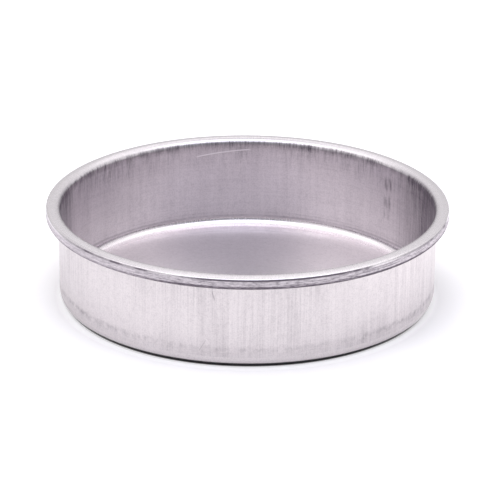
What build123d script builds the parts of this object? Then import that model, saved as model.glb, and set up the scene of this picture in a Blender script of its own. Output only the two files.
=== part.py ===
"""Round cake tin: one drawn aluminium sheet with a wired, curled rim."""

import os
from math import degrees, radians, tan

from build123d import *

# Driving sizes of the tin, in millimetres
mouth_diameter = 202.4          # across the inside of the wall, carried up to the rim
wall_draft = 0.2                # how far the wall leans in at each side on its way to the floor
rim_edge_height = 52.7          # from the surface it stands on to the rim's crisp outer edge
sheet_thickness = 1.2           # of the one sheet that makes floor, wall and bead
floor_corner_radius = 5.0       # inside corner between floor and wall

# The wire that stiffens the rim, and the room that it lies in
wire_diameter = 3.5
wire_clearance = 0.2            # between the wire and the sheet that is rolled round it
wire_end_gap = 1.5              # between the wire's two butted ends

# The sheet's way over the rim, its bends each measured on the inside of the bend
rim_lean = 12.0                 # degrees by which the top of the rim falls away outwards
rim_bend = 2.8                  # from the wall out onto the top of the rim
bead_top_bend = 0.4             # the crisp outer edge of the rim
bead_bottom_bend = 1.1          # from the outer face to the underside
lip_bend = 0.6                  # where the sheet turns up beside the wall
lip_gap = 0.5                   # between the turned-up lip and the wall

# Sizes that follow from those above
mouth_radius = mouth_diameter / 2
floor_radius = mouth_radius - wall_draft
bead_height = wire_diameter + 2 * wire_clearance + 2 * sheet_thickness
wall_outside_radius = mouth_radius + sheet_thickness
lip_radius = wall_outside_radius + lip_gap
wire_inner_radius = lip_radius + sheet_thickness + wire_clearance
wire_ring_radius = wire_inner_radius + wire_diameter / 2
rim_radius = wire_inner_radius + wire_diameter + wire_clearance + sheet_thickness
rim_corner_height = rim_edge_height + (rim_radius - mouth_radius) * tan(radians(rim_lean))
bead_foot = rim_edge_height - bead_height
wire_level = rim_edge_height - bead_height / 2
wire_end_angle = degrees(wire_end_gap / wire_ring_radius)

# The pan shell: the sheet's showing face, from the middle of the floor to the hidden lip
with BuildPart() as pan_shell:
    with BuildSketch(Plane.XZ):
        with BuildLine() as showing_face:
            FilletPolyline(
                (0, sheet_thickness),
                (floor_radius, sheet_thickness),
                (mouth_radius, rim_corner_height),
                (rim_radius, rim_edge_height),
                (rim_radius, bead_foot),
                (lip_radius, bead_foot),
                (lip_radius, wire_level),
                radius=[
                    floor_corner_radius,
                    rim_bend + sheet_thickness,
                    bead_top_bend + sheet_thickness,
                    bead_bottom_bend + sheet_thickness,
                    lip_bend + sheet_thickness,
                ],
            )
            # the sheet's other face lies one thickness behind, and closes the section
            offset(amount=sheet_thickness, side=Side.RIGHT)
        make_face()
    revolve(axis=Axis.Z)

# The rim wire: a ring lying in the bead, open where its ends meet
with BuildPart() as rim_wire:
    with BuildSketch(Plane.XZ):
        with Locations((wire_ring_radius, wire_level)):
            Circle(wire_diameter / 2)
    revolve(axis=Axis.Z, revolution_arc=360 - wire_end_angle)

# Labels and STEP files, one for each piece
pan_shell.part.label = "pan_shell"
rim_wire.part.label = "rim_wire"
os.makedirs("parts", exist_ok=True)
export_step(pan_shell.part, "parts/pan_shell.step")
export_step(rim_wire.part, "parts/rim_wire.step")
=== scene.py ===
"""Round cake tin: the finish of its drawn sheet and hidden rim wire, and the studio that it stands in."""

from math import atan2, ceil, cos, pi, radians, sin, tan

import bmesh
import bpy
from bpy.props import FloatProperty, FloatVectorProperty, IntProperty, PointerProperty
from mathutils import Matrix, Vector


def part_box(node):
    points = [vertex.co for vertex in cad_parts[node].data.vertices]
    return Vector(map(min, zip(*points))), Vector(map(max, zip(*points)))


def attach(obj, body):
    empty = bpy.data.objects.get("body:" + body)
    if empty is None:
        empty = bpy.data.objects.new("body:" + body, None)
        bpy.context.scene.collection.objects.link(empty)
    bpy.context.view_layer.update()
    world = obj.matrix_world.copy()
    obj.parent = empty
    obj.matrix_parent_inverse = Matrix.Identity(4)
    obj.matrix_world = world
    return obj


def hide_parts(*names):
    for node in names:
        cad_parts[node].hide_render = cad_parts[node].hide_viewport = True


bl_info = {
    "name": "Round Cake Tin",
    "version": (1, 0, 0),
    "blender": (4, 5, 0),
    "location": "View3D > Sidebar > Cake Tin",
    "description": "Dresses a round cake tin with its drawn aluminium finish and sets up its studio",
    "category": "Object",
}

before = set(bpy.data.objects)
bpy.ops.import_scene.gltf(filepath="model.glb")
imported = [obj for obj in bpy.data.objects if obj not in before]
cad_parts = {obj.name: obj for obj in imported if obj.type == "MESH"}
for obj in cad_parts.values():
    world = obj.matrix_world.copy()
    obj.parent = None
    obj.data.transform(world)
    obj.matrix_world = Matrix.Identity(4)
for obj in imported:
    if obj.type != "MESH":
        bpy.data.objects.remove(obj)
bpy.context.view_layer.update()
shell_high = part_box("pan_shell")[1]
SAME_PLACE = 1e-6  # in metres: points nearer than this count as one


# Sizes and colours that a user would change

def size_setting(name, description, default):
    """A length, in metres."""
    return FloatProperty(
        name=name, description=description, default=default, subtype="DISTANCE", unit="LENGTH"
    )


def angle_setting(name, description, degrees):
    """An angle, whose default is given in degrees."""
    return FloatProperty(
        name=name, description=description, default=radians(degrees), subtype="ANGLE", unit="ROTATION"
    )


def colour_setting(name, description, default):
    """A colour."""
    return FloatVectorProperty(
        name=name, description=description, default=default, subtype="COLOR", size=3, min=0.0, max=1.0
    )


class TinSizes(bpy.types.PropertyGroup):
    """The drawn sheet's sizes; the rim's radius comes from the frame."""

    rim_radius: size_setting("Rim Radius", "From the axis to the outside of the bead", shell_high.x)
    rim_edge_height: size_setting(
        "Rim Edge Height", "From the surface it stands on to the rim's crisp outer edge", 0.0527
    )
    mouth_radius: size_setting(
        "Mouth Radius", "From the axis to the inside of the wall, carried up to the rim", 0.1012
    )
    wall_draft: size_setting("Wall Draft", "How far the wall leans in on its way to the floor", 0.0002)
    sheet: size_setting("Sheet", "Thickness of the sheet", 0.0012)
    floor_corner: size_setting("Floor Corner", "Inside radius between floor and wall", 0.005)
    bead_height: size_setting(
        "Bead Height", "Of the curled bead, from its underside to the rim's outer edge", 0.0063
    )
    rim_bend: size_setting(
        "Rim Bend", "Inside radius of the bend from the wall onto the top of the rim", 0.0028
    )
    bead_top_bend: size_setting(
        "Bead Top Bend", "Inside radius of the crisp outer edge of the rim", 0.0004
    )
    bead_bottom_bend: size_setting(
        "Bead Bottom Bend", "Inside radius from the bead's outer face to its underside", 0.0011
    )
    lip_bend: size_setting("Lip Bend", "Inside radius where the sheet turns up beside the wall", 0.0006)
    lip_gap: size_setting("Lip Gap", "Between the turned-up lip and the wall", 0.0005)
    rim_lean: angle_setting("Rim Lean", "How far the top of the rim falls away outwards", 12)
    segments: IntProperty(name="Segments", description="Faces around the tin", default=256, min=32)
    ring_spacing: size_setting(
        "Ring Spacing", "Longest face along a straight stretch of the section", 0.005
    )
    bend_step: angle_setting("Bend Step", "Turn of the section covered by one face in a bend", 9)
    wave_depth: size_setting("Wave Depth", "How far the rim wanders from a true circle", 0.00012)


class TinFinish(bpy.types.PropertyGroup):
    """The colours and the wear of the aluminium and of the rim wire."""

    metal: colour_setting(
        "Metal", "Bare aluminium on the outside, where it is clean", (0.765, 0.717, 0.725)
    )
    # Painted light: the same aluminium as outside, made lighter to brighten the inside of the tin.
    lightened_inside_metal: colour_setting(
        "Inside Metal", "Bare aluminium inside the tin, where it is clean", (0.865, 0.814, 0.845)
    )
    rim_metal: colour_setting(
        "Rim Metal", "Aluminium rubbed bright on the rim and its edge", (0.792, 0.752, 0.782)
    )
    tooled_metal: colour_setting(
        "Tooled Metal",
        "Aluminium roughened by the curling rollers, on the side of the bead",
        (0.7, 0.65, 0.685),
    )
    # Also the colour of the painted shade under the bead, in the crease, at the ends of the wall, at the
    # back and at the foot.
    grime_and_shade: colour_setting(
        "Grime", "Dark oxide in the draw streaks, the scuffs and the grooves", (0.19, 0.165, 0.195)
    )
    scratch: colour_setting("Scratch", "Fresh metal in the scratch inside the wall", (0.95, 0.92, 0.94))
    wire: colour_setting("Wire", "Drawn steel wire in the bead", (0.56, 0.56, 0.57))
    streak_strength: FloatProperty(
        name="Streak Strength",
        description="How strongly the draw streaks show on the walls",
        default=1.0,
        min=0.0,
        max=2.0,
    )


class TinStudio(bpy.types.PropertyGroup):
    """The floor and the camera."""

    floor_colour: colour_setting(
        "Floor Colour", "The plain pale surface that the tin stands on", (0.86, 0.85, 0.86)
    )
    camera_distance: size_setting("Camera Distance", "From the aim point to the camera", 1.648)
    camera_height: angle_setting(
        "Camera Height Angle", "How far the camera looks down on the tin", 21.86
    )
    camera_roll: angle_setting("Camera Roll", "Turn of the picture about its own centre", 0.46)
    lens: FloatProperty(
        name="Lens",
        description="Focal length on a 36 mm wide sensor, in millimetres",
        default=217.9,
    )
    aim: FloatVectorProperty(
        name="Aim",
        description="The point in the middle of the picture",
        default=(0.0015, 0.0, 0.0252),
        subtype="TRANSLATION",
        unit="LENGTH",
        size=3,
    )


# Node helpers, used by the shader and geometry trees alike

def add_node(tree, kind, **settings):
    """Adds a node and sets its plain properties."""
    node = tree.nodes.new(kind)
    for name, value in settings.items():
        setattr(node, name, value)
    return node


def fill(tree, node, inputs):
    """Fills a node's inputs, given by name or number, with sockets or plain values."""
    for name, source in inputs.items():
        if isinstance(source, bpy.types.NodeSocket):
            tree.links.new(source, node.inputs[name])
        else:
            node.inputs[name].default_value = source


def node_output(tree, kind, inputs, output=0, **settings):
    """Adds a node, fills its inputs and returns one of its outputs."""
    node = add_node(tree, kind, **settings)
    fill(tree, node, inputs)
    return node.outputs[output]


def calculate(tree, operation, *values, clamp=False):
    """One Math node; its values are sockets or numbers."""
    inputs = dict(enumerate(values))
    return node_output(tree, "ShaderNodeMath", inputs, operation=operation, use_clamp=clamp)


def calculate_vector(tree, operation, *vectors, output="Vector"):
    """One Vector Math node."""
    inputs = dict(enumerate(vectors))
    return node_output(tree, "ShaderNodeVectorMath", inputs, output, operation=operation)


def combine(tree, x, y, z):
    """A vector from three sockets or numbers."""
    return node_output(tree, "ShaderNodeCombineXYZ", {"X": x, "Y": y, "Z": z})


def split_vector(tree, vector):
    """The X, Y and Z of a vector."""
    node = add_node(tree, "ShaderNodeSeparateXYZ")
    fill(tree, node, {0: vector})
    return node.outputs["X"], node.outputs["Y"], node.outputs["Z"]


def summed(tree, *masks):
    """Several masks together, held at 1."""
    total = masks[0]
    for mask in masks[1:]:
        total = calculate(tree, "ADD", total, mask, clamp=True)
    return total


def weighed(tree, *pairs):
    """The sum of masks, each times its own weight."""
    total = 0.0
    for mask, weight in pairs:
        total = calculate(tree, "ADD", total, calculate(tree, "MULTIPLY", mask, weight))
    return total


def product(tree, *values):
    """Several masks or numbers multiplied together."""
    total = values[0]
    for value in values[1:]:
        total = calculate(tree, "MULTIPLY", total, value)
    return total


def ramp(tree, value, low, high, low_out=0.0, high_out=1.0, smooth=True):
    """Takes a value from one range to another, held at both ends."""
    inputs = {
        "Value": value,
        "From Min": low,
        "From Max": high,
        "To Min": low_out,
        "To Max": high_out,
    }
    curve = "SMOOTHSTEP" if smooth else "LINEAR"
    return node_output(
        tree, "ShaderNodeMapRange", inputs, "Result", clamp=True, interpolation_type=curve
    )


def zone(tree, along, start, end, blur):
    """1 between two distances along the section, and 0 outside them."""
    rise = ramp(tree, along, start - blur, start + blur)
    fall = ramp(tree, along, end - blur, end + blur, 1.0, 0.0)
    return product(tree, rise, fall)


def noise(tree, vector, seed, scale=1.0, detail=2.0, roughness=0.5):
    """Noise from 0 to 1 with a fixed seed."""
    inputs = {"Vector": vector, "W": seed, "Scale": scale, "Detail": detail, "Roughness": roughness}
    return node_output(
        tree, "ShaderNodeTexNoise", inputs, "Fac", noise_dimensions="4D", normalize=True
    )


def grain_noise(tree, place, density, seed, **settings):
    """Noise that is alike in every direction, with so many cells to a metre."""
    vector = node_output(
        tree, "ShaderNodeVectorMath", {0: place, "Scale": density}, operation="SCALE"
    )
    return noise(tree, vector, seed, **settings)


def blended(tree, factor, first, second):
    """A colour between two colours; a Mix node takes them at 6 and 7 and gives it at 2."""
    inputs = {"Factor": factor, 6: first, 7: second}
    return node_output(tree, "ShaderNodeMix", inputs, 2, data_type="RGBA", clamp_factor=True)


def between(tree, factor, first, second):
    """A number between two numbers."""
    inputs = {"Factor": factor, "A": first, "B": second}
    return node_output(tree, "ShaderNodeMix", inputs, data_type="FLOAT")


def opaque(colour, share=1.0):
    """A colour property with its alpha, darkened where the share is under 1."""
    return (colour[0] * share, colour[1] * share, colour[2] * share, 1.0)


def new_group(name, kind, inputs, outputs):
    """A node group with named sockets; returns it with its input and output nodes."""
    tree = bpy.data.node_groups.new(name, kind)
    for label, socket_type, default in inputs:
        socket = tree.interface.new_socket(label, in_out="INPUT", socket_type=socket_type)
        if default is not None:
            socket.default_value = default
    for label, socket_type in outputs:
        tree.interface.new_socket(label, in_out="OUTPUT", socket_type=socket_type)
    return tree, add_node(tree, "NodeGroupInput"), add_node(tree, "NodeGroupOutput")


def new_material(name):
    """An empty node material; returns it with its tree and its Principled shader."""
    material = bpy.data.materials.new(name)
    material.use_nodes = True
    tree = material.node_tree
    tree.nodes.clear()
    shader = add_node(tree, "ShaderNodeBsdfPrincipled")
    output = add_node(tree, "ShaderNodeOutputMaterial")
    fill(tree, output, {"Surface": shader.outputs["BSDF"]})
    return material, tree, shader


# The section of the drawn sheet

def rounded_line(corners, radii, sizes):
    """Follows a line of corners rounded by radii.

    Returns its points, each with the direction of travel there, and the index of the first
    and last point of each bend.
    """
    points = [(corners[0], (corners[1] - corners[0]).normalized())]
    bends = []
    for before, corner, after, radius in zip(corners, corners[1:], corners[2:], radii):
        heading = (corner - before).normalized()
        leaving = (after - corner).normalized()
        bend = atan2(heading.cross(leaving), heading.dot(leaving))
        setback = radius * tan(abs(bend) / 2)
        add_straight(points, corner - heading * setback, heading, sizes.ring_spacing)
        side = Vector((-heading.y, heading.x)) * (1 if bend > 0 else -1)
        centre = points[-1][0] + side * radius
        first = len(points) - 1
        steps = ceil(abs(bend) / sizes.bend_step)
        for step in range(1, steps + 1):
            turned = Matrix.Rotation(bend * step / steps, 2)
            points.append((centre - turned @ side * radius, turned @ heading))
        bends.append((first, len(points) - 1))
    add_straight(points, corners[-1], points[-1][1], sizes.ring_spacing)
    return points, bends


def add_straight(points, end, heading, spacing):
    """Adds evenly spaced points up to the end of a straight stretch."""
    start = points[-1][0]
    pieces = max(1, ceil((end - start).length / spacing))
    for piece in range(1, pieces + 1):
        points.append((start.lerp(end, piece / pieces), heading))


def sheet_section(sizes):
    """The closed outline of the sheet, from the middle of the floor round to the underside.

    Returns its points, their distances along it, and the places, in metres along it, where each
    bend starts and ends. A bend's place on the sheet's other face has "back_" before its name.
    """
    floor_radius = sizes.mouth_radius - sizes.wall_draft
    lip_radius = sizes.mouth_radius + sizes.sheet + sizes.lip_gap
    bead_foot = sizes.rim_edge_height - sizes.bead_height
    lip_top = sizes.rim_edge_height - sizes.bead_height / 2
    rim_width = sizes.rim_radius - sizes.mouth_radius
    rim_corner = sizes.rim_edge_height + rim_width * tan(sizes.rim_lean)
    corners = [
        Vector((0, sizes.sheet)),
        Vector((floor_radius, sizes.sheet)),
        Vector((sizes.mouth_radius, rim_corner)),
        Vector((sizes.rim_radius, sizes.rim_edge_height)),
        Vector((sizes.rim_radius, bead_foot)),
        Vector((lip_radius, bead_foot)),
        Vector((lip_radius, lip_top)),
    ]
    radii = [
        sizes.floor_corner,
        sizes.rim_bend + sizes.sheet,
        sizes.bead_top_bend + sizes.sheet,
        sizes.bead_bottom_bend + sizes.sheet,
        sizes.lip_bend + sizes.sheet,
    ]
    line, bends = rounded_line(corners, radii, sizes)
    showing = [point for point, heading in line]
    behind = [point + Vector((heading.y, -heading.x)) * sizes.sheet for point, heading in line]
    outline = showing + behind[::-1]
    distances = [0.0]
    for before, after in zip(outline, outline[1:]):
        distances.append(distances[-1] + (after - before).length)
    last = len(outline) - 1
    names = ("foot", "rim", "edge", "bottom", "lip")
    places = {"end": distances[-1]}
    for name, (first, final) in zip(names, bends):
        places[name] = (distances[first], distances[final])
        places["back_" + name] = (distances[last - final], distances[last - first])
    return outline, distances, places


# The drawn sheet, spun from its section by Geometry Nodes

def spin_tree():
    """Spins a section about Z, closes its seam and stores how far round and along each face lies."""
    tree, given, result = new_group(
        "Spin Section",
        "GeometryNodeTree",
        [
            ("Section", "NodeSocketGeometry", None),
            ("Segments", "NodeSocketInt", 256),
            ("Wave Depth", "NodeSocketFloat", 0.0001),
            ("Wave Top", "NodeSocketFloat", 0.05),
            ("Seed", "NodeSocketFloat", 3.0),
            ("Material", "NodeSocketMaterial", None),
        ],
        [("Sheet", "NodeSocketGeometry")],
    )
    wanted = given.outputs
    section, segments = wanted["Section"], wanted["Segments"]
    rows = node_output(
        tree, "GeometryNodeAttributeDomainSize", {0: section}, "Point Count", component="MESH"
    )
    columns = calculate(tree, "ADD", segments, 1.0)
    mesh = node_output(
        tree, "GeometryNodeMeshGrid", {"Vertices X": columns, "Vertices Y": rows}, "Mesh"
    )

    # each column of the grid is the section once more, turned further about the axis
    index = add_node(tree, "GeometryNodeInputIndex").outputs[0]
    row = calculate(tree, "MODULO", index, rows)
    column = calculate(tree, "FLOOR", calculate(tree, "DIVIDE", index, rows))
    round_share = calculate(tree, "DIVIDE", column, segments)
    position = add_node(tree, "GeometryNodeInputPosition").outputs[0]
    stored_along = node_output(
        tree, "GeometryNodeInputNamedAttribute", {"Name": "along"}, data_type="FLOAT"
    )
    place = sampled(tree, section, row, position, "FLOAT_VECTOR")
    along = sampled(tree, section, row, stored_along, "FLOAT")
    spot = waved_spot(tree, wanted, round_share, place)
    mesh = node_output(tree, "GeometryNodeSetPosition", {"Geometry": mesh, "Position": spot})
    mesh = with_uv(tree, mesh, combine(tree, round_share, along, 0.0))

    mesh = node_output(
        tree, "GeometryNodeMergeByDistance", {"Geometry": mesh, "Distance": SAME_PLACE}
    )
    mesh = node_output(tree, "GeometryNodeSetShadeSmooth", {"Geometry": mesh})
    mesh = node_output(tree, "GeometryNodeRealizeInstances", {"Geometry": mesh})
    mesh = node_output(
        tree, "GeometryNodeSetMaterial", {"Geometry": mesh, "Material": wanted["Material"]}
    )
    fill(tree, result, {"Sheet": mesh})
    return tree


def sampled(tree, section, row, value, data_type):
    """A value of the section's point in this row."""
    inputs = {"Geometry": section, "Value": value, "Index": row}
    return node_output(tree, "GeometryNodeSampleIndex", inputs, data_type=data_type, domain="POINT")


def waved_spot(tree, wanted, round_share, place):
    """Turns a place of the section about Z, a little drawn in by a slow wave round the rim."""
    radius, _, level = split_vector(tree, place)
    angle = calculate(tree, "MULTIPLY", round_share, 2 * pi)
    across = calculate(tree, "COSINE", angle)
    over = calculate(tree, "SINE", angle)
    circle = combine(tree, across, over, 0.0)
    wave = noise(tree, circle, seed=wanted["Seed"], scale=1.6, detail=1.0)

    # the wave grows from nothing at the foot to its full depth at the rim, and leaves the axis alone
    grow = calculate(tree, "DIVIDE", level, wanted["Wave Top"], clamp=True)
    off_axis = calculate(tree, "GREATER_THAN", radius, SAME_PLACE)
    drawn_in = product(tree, wave, wanted["Wave Depth"], grow, off_axis)
    radius = calculate(tree, "SUBTRACT", radius, drawn_in)
    return combine(tree, product(tree, radius, across), product(tree, radius, over), level)


def with_uv(tree, mesh, uv):
    """Stores a UV map on a mesh: the share of a turn, and the share of the way along the section."""
    on_points = node_output(
        tree, "GeometryNodeFieldOnDomain", {0: uv}, data_type="FLOAT_VECTOR", domain="POINT"
    )
    return node_output(
        tree,
        "GeometryNodeStoreNamedAttribute",
        {"Geometry": mesh, "Name": "UVMap", "Value": on_points},
        data_type="FLOAT2",
        domain="CORNER",
    )


def section_object(outline, distances):
    """The section as a mesh of points in the XZ plane, each with its place along the outline."""
    mesh = bpy.data.meshes.new("sheet_section")
    mesh.from_pydata([(point.x, 0.0, point.y) for point in outline], [], [])
    along = mesh.attributes.new("along", "FLOAT", "POINT")
    along.data.foreach_set("value", [distance / distances[-1] for distance in distances])
    section = bpy.data.objects.new("sheet_section", mesh)
    bpy.context.scene.collection.objects.link(section)
    return section


def evaluated_piece(source, name):
    """The evaluated object as a plain mesh object of its own, facing outwards."""
    bpy.context.view_layer.update()
    evaluated = source.evaluated_get(bpy.context.evaluated_depsgraph_get())
    mesh = bpy.data.meshes.new_from_object(evaluated)
    mesh.name = name
    shape = bmesh.new()
    shape.from_mesh(mesh)
    bmesh.ops.recalc_face_normals(shape, faces=shape.faces)
    shape.to_mesh(mesh)
    shape.free()
    piece = bpy.data.objects.new(name, mesh)
    bpy.context.scene.collection.objects.link(piece)
    return piece


def spun_sheet(outline, distances, sizes, material):
    """The finished shell: floor, wall, rim and bead in one sheet."""
    source = section_object(outline, distances)
    modifier = source.modifiers.new("Spin", "NODES")
    modifier.node_group = spin_tree()
    values = {
        "Segments": sizes.segments,
        "Wave Depth": sizes.wave_depth,
        "Wave Top": sizes.rim_edge_height,
        "Seed": 3.0,
        "Material": material,
    }
    for socket in modifier.node_group.interface.items_tree:
        if socket.item_type == "SOCKET" and socket.name in values:
            modifier[socket.identifier] = values[socket.name]
    piece = evaluated_piece(source, "drawn_sheet")
    source.modifiers.remove(modifier)
    bpy.data.objects.remove(source)
    return piece


# Shared surface effects

def effect_group(name, inputs, *outputs):
    """A shader group of plain numbers, but for the inputs given as None, which are vectors.

    Returns its tree, the sockets of its inputs in their order, and its output node.
    """
    sockets = [
        (label, "NodeSocketVector" if default is None else "NodeSocketFloat", default)
        for label, default in inputs.items()
    ]
    results = [(label, "NodeSocketFloat") for label in outputs]
    tree, given, result = new_group(name, "ShaderNodeTree", sockets, results)
    return tree, [given.outputs[label] for label in inputs], result


def ring_spot(tree, ring, density, lift):
    """A place for noise that turns with the tin's circle and rises along its section."""
    return calculate_vector(
        tree,
        "MULTIPLY_ADD",
        ring,
        combine(tree, density, density, 0.0),
        combine(tree, 0.0, 0.0, lift),
    )


def distance_from(tree, value, middle):
    """How far a value lies from a middle, on either side."""
    return calculate(tree, "ABSOLUTE", calculate(tree, "SUBTRACT", value, middle))


def draw_streaks_group():
    """Streaks that run along the sheet, with the same width all the way round."""
    tree, (ring, along, density, run, seed), result = effect_group(
        "Draw Streaks",
        {"Ring": None, "Along": 0.0, "Density": 12.0, "Run": 4.0, "Seed": 0.0},
        "Bands",
        "Hairlines",
    )
    lift = product(tree, along, run)
    bands = noise(tree, ring_spot(tree, ring, density, lift), seed, detail=3.0)
    fine_spot = ring_spot(tree, ring, product(tree, density, 6.0), product(tree, lift, 3.0))
    fine_seed = calculate(tree, "ADD", seed, 4.0)
    hairlines = noise(tree, fine_spot, fine_seed, detail=3.0, roughness=0.65)
    fill(tree, result, {
        "Bands": ramp(tree, bands, 0.3, 0.7),
        "Hairlines": ramp(tree, hairlines, 0.3, 0.7),
    })
    return tree


def ring_lines_group():
    """Fine lines that follow the tin's circle, broken here and there."""
    tree, (ring, along, density, length, seed), result = effect_group(
        "Ring Lines",
        {"Ring": None, "Along": 0.0, "Density": 1500.0, "Length": 2.0, "Seed": 0.0},
        "Mask",
    )
    turns = calculate(tree, "DIVIDE", 6.0, length)
    lines = noise(tree, ring_spot(tree, ring, turns, product(tree, along, density)), seed)
    fill(tree, result, {"Mask": ramp(tree, lines, 0.4, 0.75)})
    return tree


def smudge_line_group():
    """A broken smudge that follows one level of the section round the tin."""
    tree, wanted, result = effect_group(
        "Smudge Line",
        {
            "Ring": None,
            "Along": 0.0,
            "Level": 0.1,
            "Width": 0.001,
            "Wander": 0.001,
            "Breaks": 20.0,
            "Rise": 1200.0,
            "Cover": 0.5,
            "Seed": 0.0,
        },
        "Mask",
    )
    ring, along, level, width, wander, breaks, rise, cover, seed = wanted
    drift = noise(tree, ring_spot(tree, ring, 7.0, 0.0), seed, detail=3.0)
    drift = product(tree, calculate(tree, "SUBTRACT", drift, 0.5), wander)
    level = calculate(tree, "SUBTRACT", level, drift)
    body = ramp(tree, distance_from(tree, along, level), 0.0, width, 1.0, 0.0)
    broken_seed = calculate(tree, "ADD", seed, 2.0)
    broken_spot = ring_spot(tree, ring, breaks, product(tree, along, rise))
    broken = noise(tree, broken_spot, broken_seed, detail=3.0, roughness=0.6)
    start = calculate(tree, "SUBTRACT", 0.85, product(tree, cover, 0.6))
    kept = ramp(tree, broken, start, calculate(tree, "ADD", start, 0.4))
    fill(tree, result, {"Mask": product(tree, body, kept)})
    return tree


def scratch_group():
    """One curved scratch between two turns of the tin, fading at its ends."""
    tree, (turn, along, start, finish, level, fall, bow, width), result = effect_group(
        "Scratch",
        {
            "Turn": 0.0,
            "Along": 0.0,
            "Start": 0.2,
            "Finish": 0.3,
            "Level": 0.1,
            "Fall": 0.0,
            "Bow": 0.0,
            "Width": 0.0003,
        },
        "Mask",
    )
    share = ramp(tree, turn, start, finish, smooth=False)
    arch = product(tree, share, calculate(tree, "SUBTRACT", 1.0, share), 4.0)
    level = calculate(tree, "SUBTRACT", level, product(tree, fall, share))
    level = calculate(tree, "ADD", level, product(tree, bow, arch))
    body = ramp(tree, distance_from(tree, along, level), 0.0, width, 1.0, 0.0)
    fill(tree, result, {"Mask": product(tree, body, ramp(tree, arch, 0.0, 0.35))})
    return tree


def scuff_patch_group():
    """A patch of short upright scuffs round one turn and one level of the tin."""
    tree, wanted, result = effect_group(
        "Scuff Patch",
        {
            "Ring": None,
            "Turn": 0.0,
            "Along": 0.0,
            "Centre Turn": 0.1,
            "Centre Level": 0.1,
            "Half Turn": 0.005,
            "Half Level": 0.01,
            "Cover": 0.5,
            "Seed": 0.0,
        },
        "Mask",
    )
    ring, turn, along, centre_turn, centre_level, half_turn, half_level, cover, seed = wanted
    spot = ring_spot(tree, ring, 48.0, product(tree, along, 150.0))
    marks = noise(tree, spot, seed, detail=1.0, roughness=0.3)
    start = calculate(tree, "SUBTRACT", 0.8, product(tree, cover, 0.5))
    marks = ramp(tree, marks, start, calculate(tree, "ADD", start, 0.35))
    aside = calculate(tree, "DIVIDE", distance_from(tree, turn, centre_turn), half_turn)
    above = calculate(tree, "DIVIDE", distance_from(tree, along, centre_level), half_level)
    near = product(tree, ramp(tree, aside, 0.6, 1.1, 1.0, 0.0), ramp(tree, above, 0.8, 1.1, 1.0, 0.0))
    fill(tree, result, {"Mask": product(tree, marks, near)})
    return tree


EFFECTS = {
    "Draw Streaks": draw_streaks_group,
    "Ring Lines": ring_lines_group,
    "Smudge Line": smudge_line_group,
    "Scratch": scratch_group,
    "Scuff Patch": scuff_patch_group,
}


def place_effect(tree, effect, **values):
    """Places a shared effect in a material, and builds its group the first time.

    Its inputs are given by their names, in small letters and with underscores for spaces.
    """
    group = bpy.data.node_groups.get(effect) or EFFECTS[effect]()
    node = add_node(tree, "ShaderNodeGroup", node_tree=group)
    fill(tree, node, {name.replace("_", " ").title(): value for name, value in values.items()})
    return node


# Places and zones on the tin

def ring_direction(tree):
    """A spot's place, from Object coordinates, and its direction from the tin's axis."""
    place = add_node(tree, "ShaderNodeTexCoord").outputs["Object"]
    flat = calculate_vector(tree, "MULTIPLY", place, (1.0, 1.0, 0.0))
    return place, calculate_vector(tree, "NORMALIZE", flat)


def facing(tree, direction, azimuth):
    """1 where a direction points to an azimuth, and -1 opposite to it.

    Azimuths are in degrees from the right as the camera sees the tin: its front is at -90, its
    back at 90 and its left at 180.
    """
    way = (cos(radians(azimuth)), sin(radians(azimuth)), 0.0)
    return calculate_vector(tree, "DOT_PRODUCT", direction, way, output="Value")


def sheet_zones(tree, along, places):
    """A mask for each part of the sheet, from the places where its bends start and end."""
    blur = 0.0003
    beyond = 1.0
    spans = {
        "floor": (-beyond, places["foot"][0]),
        "corner": places["foot"],
        "inner_wall": (places["foot"][1], places["rim"][0]),
        "rim": (places["rim"][0], places["edge"][0]),
        "crease": places["edge"],
        "bead_side": (places["edge"][1], places["bottom"][0]),
        "groove": (places["bottom"][0], places["back_rim"][1]),
        "outer_wall": (places["back_rim"][1], places["back_foot"][0]),
        "outer_corner": places["back_foot"],
        "base": (places["back_foot"][1], places["end"] + beyond),
    }
    return {name: zone(tree, along, start, end, blur) for name, (start, end) in spans.items()}


class SheetSurface:
    """The sheet as its material sees it: where a spot lies on it, and in which of its zones."""

    def __init__(self, tree, places):
        self.tree = tree
        self.places = places
        self.place, self.ring = ring_direction(tree)
        uv = add_node(tree, "ShaderNodeUVMap", uv_map="UVMap").outputs[0]
        self.turn, share, _ = split_vector(tree, uv)
        self.along = product(tree, share, places["end"])
        self.zones = sheet_zones(tree, self.along, places)
        self.inside = self.joined("floor", "corner", "inner_wall")
        self.tooled = self.joined("bead_side", "groove")

    def joined(self, *names):
        """A mask for several zones together."""
        return summed(self.tree, *[self.zones[name] for name in names])

    def side(self, azimuth, fades, full, low_out=0.0, high_out=1.0):
        """A mask for the side that faces an azimuth, fading in between two values of facing."""
        return ramp(self.tree, facing(self.tree, self.ring, azimuth), fades, full, low_out, high_out)

    def effect(self, name, **values):
        """Places a shared effect on the sheet, and returns its outputs."""
        node = place_effect(self.tree, name, **values)
        here = {"Ring": self.ring, "Turn": self.turn, "Along": self.along}
        fill(self.tree, node, {label: here[label] for label in here if label in node.inputs})
        return node.outputs

    def mask(self, name, **values):
        """Places a shared effect on the sheet, and returns its mask."""
        return self.effect(name, **values)["Mask"]


# The marks on the sheet

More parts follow.
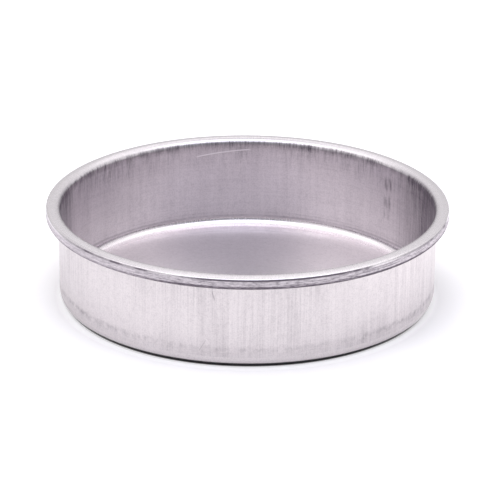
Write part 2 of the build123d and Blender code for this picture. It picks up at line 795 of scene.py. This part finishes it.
def wall_streaks(sheet):
    """Dark upright streaks: even on the outer wall, strongest under the rim on the inner one."""
    tree, ring, along, zones = sheet.tree, sheet.ring, sheet.along, sheet.zones
    long_ones = sheet.effect("Draw Streaks", density=22.0, run=9.0, seed=1.7)
    short_ones = sheet.effect("Draw Streaks", density=48.0, run=60.0, seed=8.3)
    bands, hairlines = long_ones["Bands"], long_ones["Hairlines"]
    short_bands, short_hairlines = short_ones["Bands"], short_ones["Hairlines"]
    patches = noise(tree, ring_spot(tree, ring, 2.5, product(tree, along, 25.0)), seed=21.0)
    patches = ramp(tree, patches, 0.35, 0.65, 0.4, 1.2)

    # under the rim the streaks climb to slightly uneven heights in the bend
    wall_top = sheet.places["rim"][0]
    climb = calculate(tree, "MULTIPLY_ADD", short_hairlines, 0.0009, wall_top + 0.0011)
    under_rim = product(
        tree,
        ramp(tree, along, wall_top - 0.018, wall_top + 0.001),
        ramp(tree, calculate(tree, "SUBTRACT", along, climb), -0.0003, 0.0012, 1.0, 0.0),
    )
    just_under = ramp(tree, along, wall_top - 0.0032, wall_top + 0.0008)
    clumps = noise(tree, ring_spot(tree, ring, 13.0, 0.0), seed=33.0, detail=3.0)
    clumps = ramp(tree, clumps, 0.4, 0.64, 0.25, 1.15)
    dashes = product(tree, calculate(tree, "MULTIPLY_ADD", short_hairlines, 0.28, 0.24), clumps)

    inner = weighed(tree, (bands, 0.06), (hairlines, 0.05), (patches, 0.05))
    outer = product(tree, weighed(tree, (bands, 0.09), (hairlines, 0.15)), patches)
    streaked = weighed(
        tree,
        (inner, zones["inner_wall"]),
        (outer, zones["outer_wall"]),
        (product(tree, just_under, dashes), under_rim),
        (product(tree, short_bands, short_hairlines, under_rim, patches), 0.6),
        (product(tree, short_hairlines, zones["rim"]), 0.1),
    )
    return streaked, hairlines


def floor_lines(sheet):
    """A sharp oxide line at the top of the floor's rounded corner, and a faint one above it."""
    foot = sheet.places["foot"][1]
    sharp = sheet.mask(
        "Smudge Line", level=foot - 0.0001, width=0.0012, wander=0.0004, breaks=3.0, cover=1.1, seed=3.0
    )
    faint = sheet.mask(
        "Smudge Line", level=foot + 0.0022, width=0.0006, wander=0.0004, breaks=3.0, cover=1.0, seed=5.0
    )
    return weighed(sheet.tree, (sharp, 0.38), (faint, 0.12))


def outer_foot_smudges_and_shade(sheet):
    """Smudges low on the outer wall, a thin line below them, and under that a painted shade that darkens
    the metal slightly.
    """
    foot = sheet.places["back_foot"][0]
    smudge = sheet.mask(
        "Smudge Line",
        level=foot - 0.0042,
        width=0.0028,
        wander=0.0016,
        breaks=30.0,
        rise=260.0,
        cover=0.9,
        seed=7.0,
    )
    line = sheet.mask(
        "Smudge Line", level=foot - 0.0026, width=0.0007, wander=0.0006, breaks=20.0, cover=0.75, seed=11.0
    )
    weaker_in_front = sheet.side(-88, 0.5, 0.95, low_out=1.0, high_out=0.5)
    return weighed(
        sheet.tree,
        (product(sheet.tree, smudge, weaker_in_front), 0.42),
        (line, 0.16),
        # painted shade: the metal slightly darker from just above the outer corner down
        (ramp(sheet.tree, sheet.along, foot - 0.0028, foot - 0.0022), 0.05),
    )


def single_marks(sheet):
    """Upright scuffs inside at the right, and a nick and a rub mark on the outer wall in front."""
    outer_foot = sheet.places["back_foot"][0]
    scuffs = sheet.mask(
        "Scuff Patch",
        centre_turn=38.8 / 360,
        centre_level=sheet.places["foot"][1] + 0.0258,
        half_turn=0.0055,
        half_level=0.0125,
        cover=0.85,
        seed=4.0,
    )
    nick = sheet.mask(
        "Scratch",
        start=259.9 / 360,
        finish=260.8 / 360,
        level=outer_foot - 0.0375,
        fall=-0.0055,
        bow=0.0008,
        width=0.0018,
    )
    rub = sheet.mask(
        "Scratch",
        start=256.1 / 360,
        finish=258.2 / 360,
        level=outer_foot - 0.0028,
        fall=0.0065,
        bow=0.0004,
        width=0.0006,
    )
    return weighed(sheet.tree, (scuffs, 0.4), (nick, 0.4), (rub, 0.3))


def long_scratch(sheet):
    """The bright scratch at the back of the inside, just under the rim."""
    return sheet.mask(
        "Scratch",
        start=88.5 / 360,
        finish=107.8 / 360,
        level=sheet.places["rim"][0] - 0.0027,
        fall=0.0034,
        bow=0.0003,
        width=0.0006,
    )


def front_left_weakening(sheet):
    """Weaker roller marks and weaker painted shade round the bead at the front left."""
    return sheet.side(-142, 0.85, 0.98, low_out=1.0, high_out=0.6)


def tool_marks(sheet):
    """Rough flecks and lines that the curling rollers left round the bead."""
    tree, zones = sheet.tree, sheet.zones
    flecks = sheet.mask("Ring Lines", density=1700.0, length=0.15, seed=4.0)
    lines = sheet.mask("Ring Lines", density=1900.0, length=1.0, seed=6.0)
    bead = weighed(tree, (zones["bead_side"], 1.0), (zones["crease"], 0.15), (zones["groove"], 1.0))
    return product(tree, summed(tree, flecks, lines), bead, front_left_weakening(sheet))


def turning_marks(sheet):
    """Fine rings over the inside and the underside of the tin."""
    rings = sheet.mask("Ring Lines", density=900.0, length=2.0, seed=1.0)
    return product(sheet.tree, rings, summed(sheet.tree, sheet.inside, sheet.zones["base"]))


def bead_shade(sheet):
    """Painted shade on the round underside of the bead and on the top of the wall behind it."""
    tree, along = sheet.tree, sheet.along
    start = sheet.places["bottom"][0]
    end = sheet.places["back_rim"][1] + 0.0037
    return product(
        tree,
        ramp(tree, along, end - 0.0002, end + 0.0016, 1.0, 0.0),
        ramp(tree, along, start - 0.0002, start + 0.0006),
        sheet.side(-32, 0.93, 1.0, low_out=1.0, high_out=1.5),
        front_left_weakening(sheet),
    )


def crease_dirt_and_reflection(sheet):
    """Under the rim's crisp edge: dashes of dirt all round, and in front a whole line of painted dark
    reflection; front left, a darker edge.
    """
    tree = sheet.tree
    level = sheet.places["edge"][1] - 0.0006
    dashes = noise(tree, ring_spot(tree, sheet.ring, 9.0, 0.0), seed=14.0, detail=3.0)
    cover = summed(
        tree,
        ramp(tree, dashes, 0.45, 0.65, high_out=0.6),
        # painted dark reflection: the line is whole in front
        sheet.side(-82, 0.86, 0.97),
        sheet.side(-135, 0.9, 1.0, high_out=0.35),
        sheet.side(-30, 0.955, 0.99, high_out=0.55),
    )
    line = zone(tree, sheet.along, level - 0.0004, level + 0.0006, 0.0002)
    dull_edge = product(tree, sheet.zones["crease"], sheet.side(-132, 0.9, 1.0))
    return weighed(tree, (product(tree, line, cover), 0.95), (dull_edge, 0.25))


def painted_end_shade(sheet, hairlines):
    """Painted shade on the left and right of the inner wall, and on the outer corner at the left."""
    tree, places = sheet.tree, sheet.places
    ends = weighed(tree, (sheet.side(0, 0.78, 1.0), 0.6), (sheet.side(180, 0.93, 0.99), 0.4))
    wall_to_bend = zone(tree, sheet.along, places["foot"][1], places["rim"][0] + 0.0031, 0.0008)
    uneven = calculate(tree, "MULTIPLY_ADD", hairlines, 0.7, 0.7)
    left_corner = product(tree, sheet.zones["outer_corner"], sheet.side(185, 0.9, 1.0))
    return weighed(tree, (product(tree, ends, wall_to_bend, uneven), 1.0), (left_corner, 0.24))


def painted_back_and_edge_shade(sheet):
    """Painted shade: a darker rim and floor edge at the back, and a darker rim wherever it is seen edge
    on.
    """
    tree, foot = sheet.tree, sheet.places["foot"][0]
    far_rim = product(tree, sheet.zones["rim"], sheet.side(88, 0.6, 0.95))
    floor_edge = product(
        tree,
        zone(tree, sheet.along, foot - 0.0065, foot + 0.0009, 0.0006),
        sheet.side(95, 0.85, 1.0),
    )
    # painted dark outline where the rim is seen edge on
    edge_on = add_node(tree, "ShaderNodeLayerWeight").outputs["Facing"]
    limb = product(tree, ramp(tree, edge_on, 0.77, 0.9), sheet.joined("rim", "crease"))
    return weighed(tree, (far_rim, 0.1), (floor_edge, 0.3), (limb, 0.25))


def painted_foot_shadow(sheet, past_corner):
    """Painted shadow on the ring where the outer corner turns under the tin, from so far past the corner's
    start.
    """
    tree, along = sheet.tree, sheet.along
    corner_start, corner_end = sheet.places["back_foot"]
    start = corner_start + past_corner
    return product(
        tree,
        ramp(tree, along, corner_end + 0.0012, corner_end + 0.004, 1.0, 0.0),
        ramp(tree, along, start, start + 0.0006),
    )


# Materials

def sheet_marks(sheet):
    """The marks and textures that the metal's colour, roughness and relief share."""
    tree, place = sheet.tree, sheet.place
    streaked, hairlines = wall_streaks(sheet)
    grain = grain_noise(tree, place, density=1400.0, seed=5.0)
    off_corner = calculate(tree, "SUBTRACT", 1.0, sheet.zones["corner"])
    return {
        "streaked": streaked,
        "hairlines": hairlines,
        "tool": tool_marks(sheet),
        "turned": turning_marks(sheet),
        "scratch": long_scratch(sheet),
        "mottle": grain_noise(tree, place, density=420.0, seed=3.0, detail=4.0, roughness=0.6),
        "grain": product(tree, grain, off_corner),
    }


def sheet_dirt_and_shade(sheet, marks, streak_strength):
    """All that darkens the metal: draw streaks, dirt and marks, and painted shade."""
    tree = sheet.tree
    clouds = grain_noise(tree, sheet.place, density=28.0, seed=12.0, detail=3.0)
    return weighed(
        tree,
        (marks["streaked"], streak_strength),
        (floor_lines(sheet), 1.0),
        (outer_foot_smudges_and_shade(sheet), 1.0),
        (single_marks(sheet), 1.0),
        (marks["tool"], 0.6),
        (marks["turned"], 0.055),
        # painted shade under the bead
        (bead_shade(sheet), 0.58),
        (ramp(tree, marks["mottle"], 0.4, 0.8), 0.1),
        (ramp(tree, marks["grain"], 0.4, 0.7), 0.13),
        (product(tree, ramp(tree, clouds, 0.38, 0.66), sheet.inside), 0.06),
        # painted shadow at the foot, then the crease's dirt and painted reflection, and painted shade at
        # the wall's ends, at the back and on edges seen edge on
        (painted_foot_shadow(sheet, past_corner=0.0034), 0.6),
        (crease_dirt_and_reflection(sheet), 1.0),
        (painted_end_shade(sheet, marks["hairlines"]), 1.0),
        (painted_back_and_edge_shade(sheet), 1.0),
    )


def sheet_colour(sheet, finish, marks, dirty_and_shaded):
    """Each zone's own metal, then the dirt and painted shade, the fresh scratch and the painted shadow
    ring at the foot.
    """
    colour = opaque(finish.metal)
    layers = (
        # painted light: the lighter inside metal
        (sheet.inside, opaque(finish.lightened_inside_metal)),
        (sheet.joined("rim", "crease"), opaque(finish.rim_metal)),
        (sheet.tooled, opaque(finish.tooled_metal)),
        # the dirt together with the painted shade, in the grime colour
        (dirty_and_shaded, opaque(finish.grime_and_shade)),
        (marks["scratch"], opaque(finish.scratch)),
        # painted shadow: the corner's underside darkened nearly to black at the foot
        (painted_foot_shadow(sheet, past_corner=0.0036), opaque(finish.grime_and_shade, 0.2)),
    )
    for mask, tone in layers:
        colour = blended(sheet.tree, mask, colour, tone)
    return colour


def sheet_roughness(sheet, marks, dirty_and_shaded):
    """Smoothest where the rim is rubbed, and roughest in the dirt, under the painted shade and in the
    rollers' marks.
    """
    tree, zones = sheet.tree, sheet.zones
    clean_roughness = 0.25
    worn = summed(tree, zones["crease"], product(tree, zones["rim"], 0.5))
    change = weighed(
        tree,
        (sheet.inside, 0.02),
        (zones["corner"], -0.07),
        (worn, -0.1),
        (sheet.tooled, 0.14),
        (dirty_and_shaded, 0.25),
        (marks["hairlines"], 0.04),
        (marks["mottle"], 0.05),
    )
    return calculate(tree, "ADD", change, clean_roughness, clamp=True)


def sheet_relief(sheet, marks):
    """The normal over the draw lines, the grain, the turning and the rollers' marks."""
    tree = sheet.tree
    drawn = sheet.joined("inner_wall", "outer_wall", "rim")
    height = weighed(
        tree,
        (product(tree, marks["hairlines"], drawn), 1.0),
        (marks["grain"], 0.35),
        (marks["turned"], 0.5),
        (marks["tool"], -1.2),
        (marks["scratch"], -1.0),
    )
    return node_output(
        tree, "ShaderNodeBump", {"Strength": 0.12, "Distance": 0.0001, "Height": height}
    )


def aluminium_material(finish, places):
    """Bare satin aluminium, streaked by drawing, scuffed and stained in use, with painted shade in its
    crease, under its bead, at its ends, at the back and at its foot.
    """
    material, tree, shader = new_material("satin_aluminium")
    sheet = SheetSurface(tree, places)
    marks = sheet_marks(sheet)
    # dirt and painted shade together
    dirty_and_shaded = sheet_dirt_and_shade(sheet, marks, finish.streak_strength)
    tangent = add_node(tree, "ShaderNodeTangent", direction_type="RADIAL", axis="Z")
    fill(tree, shader, {
        "Base Color": sheet_colour(sheet, finish, marks, dirty_and_shaded),
        "Metallic": 1.0,
        "Roughness": sheet_roughness(sheet, marks, dirty_and_shaded),
        "Anisotropic": 0.5,
        "Tangent": tangent.outputs[0],
        "Normal": sheet_relief(sheet, marks),
    })
    return material


def wire_material(finish):
    """Drawn steel wire, with fine marks along it."""
    material, tree, shader = new_material("drawn_steel_wire")
    place, ring = ring_direction(tree)
    grain = grain_noise(tree, place, density=700.0, seed=2.0, detail=3.0)
    streaks = place_effect(tree, "Draw Streaks", ring=ring, along=0.0, density=40.0, run=1.0, seed=6.0)
    darkened = product(tree, grain, streaks.outputs["Bands"])
    fill(tree, shader, {
        "Base Color": blended(tree, darkened, opaque(finish.wire), opaque(finish.wire, 0.7)),
        "Metallic": 1.0,
        "Roughness": ramp(tree, grain, 0.2, 0.8, 0.3, 0.5),
    })
    return material


# The studio

def tent_strength(tree, towards, opening, across, height):
    """How bright the light tent is: pale walls with a dark opening, under a bright roof."""
    front = ramp(tree, towards, 0.1, 0.75)
    behind = ramp(tree, towards, -0.9, -0.3, 1.0, 0.0)
    side_wall = ramp(tree, across, -1.0, 1.0, 1.0, 0.98, smooth=False)
    back_wall = ramp(tree, height, 0.05, 0.35, 0.66, 0.87)
    walls = between(tree, behind, side_wall, back_wall)
    walls = product(tree, walls, ramp(tree, opening, 0.0, 1.0, 1.0, 0.35))
    roof_start = ramp(tree, behind, 0.0, 1.0, 0.54, 0.56)
    roof_end = ramp(tree, behind, 0.0, 1.0, 0.68, 0.8)
    roof = calculate(tree, "MULTIPLY_ADD", front, 0.9, ramp(tree, behind, 0.0, 1.0, 1.35, 1.4))
    return between(tree, ramp(tree, height, roof_start, roof_end), walls, roof)


def studio_world():
    """A light tent that is open towards the camera, where the room behind it is dark."""
    opening_azimuth = -80
    warm, cool = (1.0, 0.995, 1.0, 1.0), (0.93, 0.965, 1.08, 1.0)
    world = bpy.data.worlds.new("studio")
    world.use_nodes = True
    tree = world.node_tree
    tree.nodes.clear()
    direction = add_node(tree, "ShaderNodeTexCoord").outputs["Generated"]
    across, away, height = split_vector(tree, direction)
    level_way = calculate_vector(tree, "NORMALIZE", combine(tree, across, away, 0.0))
    towards = facing(tree, level_way, opening_azimuth)
    opening = ramp(tree, towards, 0.6, 0.88)
    strength = tent_strength(tree, towards, opening, across, height)

    # mirror images in the tin see a softer spot straight overhead
    rays = add_node(tree, "ShaderNodeLightPath").outputs
    overhead = ramp(tree, height, 0.957, 0.985)
    softer = product(tree, overhead, 0.5, rays["Is Glossy Ray"])
    lit = node_output(tree, "ShaderNodeBackground", {
        "Strength": product(tree, strength, calculate(tree, "SUBTRACT", 1.0, softer)),
        "Color": blended(tree, product(tree, opening, 0.8), warm, cool),
    })
    seen = node_output(tree, "ShaderNodeBackground", {"Color": (1.0, 1.0, 1.0, 1.0)})
    mixed = node_output(tree, "ShaderNodeMixShader", {0: rays["Is Camera Ray"], 1: lit, 2: seen})
    output = add_node(tree, "ShaderNodeOutputWorld")
    fill(tree, output, {"Surface": mixed})
    bpy.context.scene.world = world


def floor_glow(tree, reach, ring):
    """How strongly the floor glows towards white, for the camera and for mirror images in the tin. The
    glow changes with the distance from the tin and is weaker at the tin's right, which paints the tin's
    soft shadow on the floor; mirror images see painted light, brighter at the right and the back; right
    under the tin's edge there is no glow.

    Reach is the distance from the tin's axis, in metres.
    """
    lift = weighed(
        tree,
        (ramp(tree, reach, 0.1, 0.152, 0.085, 0.31), 1.0),
        (ramp(tree, reach, 0.0995, 0.1055, 1.0, 0.0), 0.3),
        (ramp(tree, reach, 0.24, 0.6), 0.25),
    )
    # painted shadow: the glow is weaker to the right of the tin
    right_side = ramp(tree, facing(tree, ring, -12), 0.8, 1.0)
    right_shadow = product(tree, right_side, ramp(tree, reach, 0.1, 0.2, 0.06, 0.0))
    # painted light in the tin's mirror images: the floor glows more for them, most of all at the right and
    # the back
    mirrored = weighed(
        tree,
        (ramp(tree, reach, 0.3, 0.8, 1.0, 0.0), 0.3),
        (ramp(tree, facing(tree, ring, -5), 0.8, 1.0), 0.7),
        (ramp(tree, facing(tree, ring, 80), 0.3, 0.9), 0.8),
    )
    rays = add_node(tree, "ShaderNodeLightPath").outputs
    seen = product(tree, rays["Is Camera Ray"], calculate(tree, "SUBTRACT", lift, right_shadow))
    mirrored = product(tree, rays["Is Glossy Ray"], mirrored)
    # no glow right under the tin's edge, part of the painted contact shadow
    clear_of_tin = ramp(tree, reach, 0.0978, 0.0997)
    return product(tree, clear_of_tin, calculate(tree, "MULTIPLY_ADD", mirrored, lift, seen))


def floor_material(studio):
    """A matt pale floor, lifted to white except close to the tin's foot, where its shadow stays; right
    under the tin's edge it is painted nearly black, a painted contact shadow, and far from the tin its
    colour is darker.
    """
    material, tree, shader = new_material("pale_floor")
    place, ring = ring_direction(tree)
    reach = calculate_vector(tree, "LENGTH", place, output="Value")
    pale, distant = opaque(studio.floor_colour), opaque(studio.floor_colour, 0.7)
    # painted contact shadow: the floor nearly black right under the tin's edge
    painted_contact_shadow = (pale[0] * 0.05, pale[1] * 0.04, pale[2] * 0.05, 1.0)
    colour = blended(tree, ramp(tree, reach, 0.65, 1.0), pale, distant)
    fill(tree, shader, {
        "Base Color": blended(tree, ramp(tree, reach, 0.0982, 0.1), painted_contact_shadow, colour),
        "Roughness": 0.9,
        "Specular IOR Level": 0.0,
        "Emission Strength": floor_glow(tree, reach, ring),
        "Emission Color": (1.0, 0.985, 1.0, 1.0),
    })
    return material


def studio_floor(studio):
    """The plain floor that the tin stands on; it ends in front of the tin, like a table."""
    mesh = bpy.data.meshes.new("studio_floor")
    reach, front = 4.0, -0.42
    mesh.from_pydata(
        [(-reach, front, 0), (reach, front, 0), (reach, reach, 0), (-reach, reach, 0)],
        [],
        [(0, 1, 2, 3)],
    )
    floor = bpy.data.objects.new("studio_floor", mesh)
    floor.data.materials.append(floor_material(studio))
    bpy.context.scene.collection.objects.link(floor)


def softbox(name, place, target, width, depth, power):
    """A rectangular area lamp that faces a point."""
    lamp = bpy.data.lights.new(name, "AREA")
    lamp.shape = "RECTANGLE"
    lamp.size = width
    lamp.size_y = depth
    lamp.energy = power
    holder = bpy.data.objects.new(name, lamp)
    holder.location = place
    holder.rotation_euler = (Vector(target) - Vector(place)).to_track_quat("-Z", "Y").to_euler()
    bpy.context.scene.collection.objects.link(holder)


def studio_camera(studio):
    """The camera, looking along +Y and down on the tin."""
    camera = bpy.data.cameras.new("camera")
    camera.sensor_width = 36.0
    camera.lens = studio.lens
    camera.clip_end = 20.0
    holder = bpy.data.objects.new("camera", camera)
    away = Vector((0, -cos(studio.camera_height), sin(studio.camera_height)))
    place = Vector(studio.aim) + away * studio.camera_distance
    look = (-away).to_track_quat("-Z", "Y").to_matrix().to_4x4()
    holder.matrix_world = Matrix.Translation(place) @ look @ Matrix.Rotation(studio.camera_roll, 4, "Z")
    bpy.context.scene.collection.objects.link(holder)
    bpy.context.scene.camera = holder


# Operators, the panel and their registration

class TIN_OT_drawn_sheet(bpy.types.Operator):
    """Spin the drawn sheet from its section and give it its aluminium finish"""

    bl_idname = "cake_tin.drawn_sheet"
    bl_label = "Drawn Sheet"

    def execute(self, context):
        sizes = context.scene.tin_sizes
        outline, distances, places = sheet_section(sizes)
        material = aluminium_material(context.scene.tin_finish, places)
        sheet = spun_sheet(outline, distances, sizes, material)
        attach(sheet, "root")
        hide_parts("pan_shell")
        return {"FINISHED"}


class TIN_OT_rim_wire(bpy.types.Operator):
    """Give the wire in the bead its drawn steel finish"""

    bl_idname = "cake_tin.rim_wire"
    bl_label = "Rim Wire"

    def execute(self, context):
        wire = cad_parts["rim_wire"]
        wire.data.materials.clear()
        wire.data.materials.append(wire_material(context.scene.tin_finish))
        return {"FINISHED"}


class TIN_OT_studio(bpy.types.Operator):
    """Set up the floor, the light and the camera"""

    bl_idname = "cake_tin.studio"
    bl_label = "Studio"

    def execute(self, context):
        studio = context.scene.tin_studio
        studio_floor(studio)
        studio_world()
        softbox("left_softbox", (-1.0, -0.1, 1.1), (0, 0, 0), width=0.8, depth=0.8, power=1.0)
        studio_camera(studio)
        context.scene.view_settings.view_transform = "Standard"
        return {"FINISHED"}


class TIN_PT_panel(bpy.types.Panel):
    """Lists the steps and the sizes of the cake tin."""

    bl_idname = "TIN_PT_panel"
    bl_label = "Cake Tin"
    bl_space_type = "VIEW_3D"
    bl_region_type = "UI"
    bl_category = "Cake Tin"

    def draw(self, context):
        column = self.layout.column()
        for step in STEPS:
            column.operator(step.bl_idname)
        for group in GROUPS:
            settings = getattr(context.scene, group)
            box = self.layout.box()
            for name in settings.__annotations__:
                box.prop(settings, name)


STEPS = (TIN_OT_drawn_sheet, TIN_OT_rim_wire, TIN_OT_studio)
GROUPS = {"tin_sizes": TinSizes, "tin_finish": TinFinish, "tin_studio": TinStudio}


def register():
    """Registers the settings, the steps and the panel."""
    for group in GROUPS.values():
        bpy.utils.register_class(group)
    for name, group in GROUPS.items():
        setattr(bpy.types.Scene, name, PointerProperty(type=group))
    for step in STEPS:
        bpy.utils.register_class(step)
    bpy.utils.register_class(TIN_PT_panel)


def unregister():
    """Takes away what register added, in the other order."""
    bpy.utils.unregister_class(TIN_PT_panel)
    for step in reversed(STEPS):
        bpy.utils.unregister_class(step)
    for name, group in reversed(GROUPS.items()):
        delattr(bpy.types.Scene, name)
        bpy.utils.unregister_class(group)


def main():
    """Runs every step in order."""
    register()
    bpy.ops.cake_tin.drawn_sheet()
    bpy.ops.cake_tin.rim_wire()
    bpy.ops.cake_tin.studio()


if __name__ == "__main__":
    main()
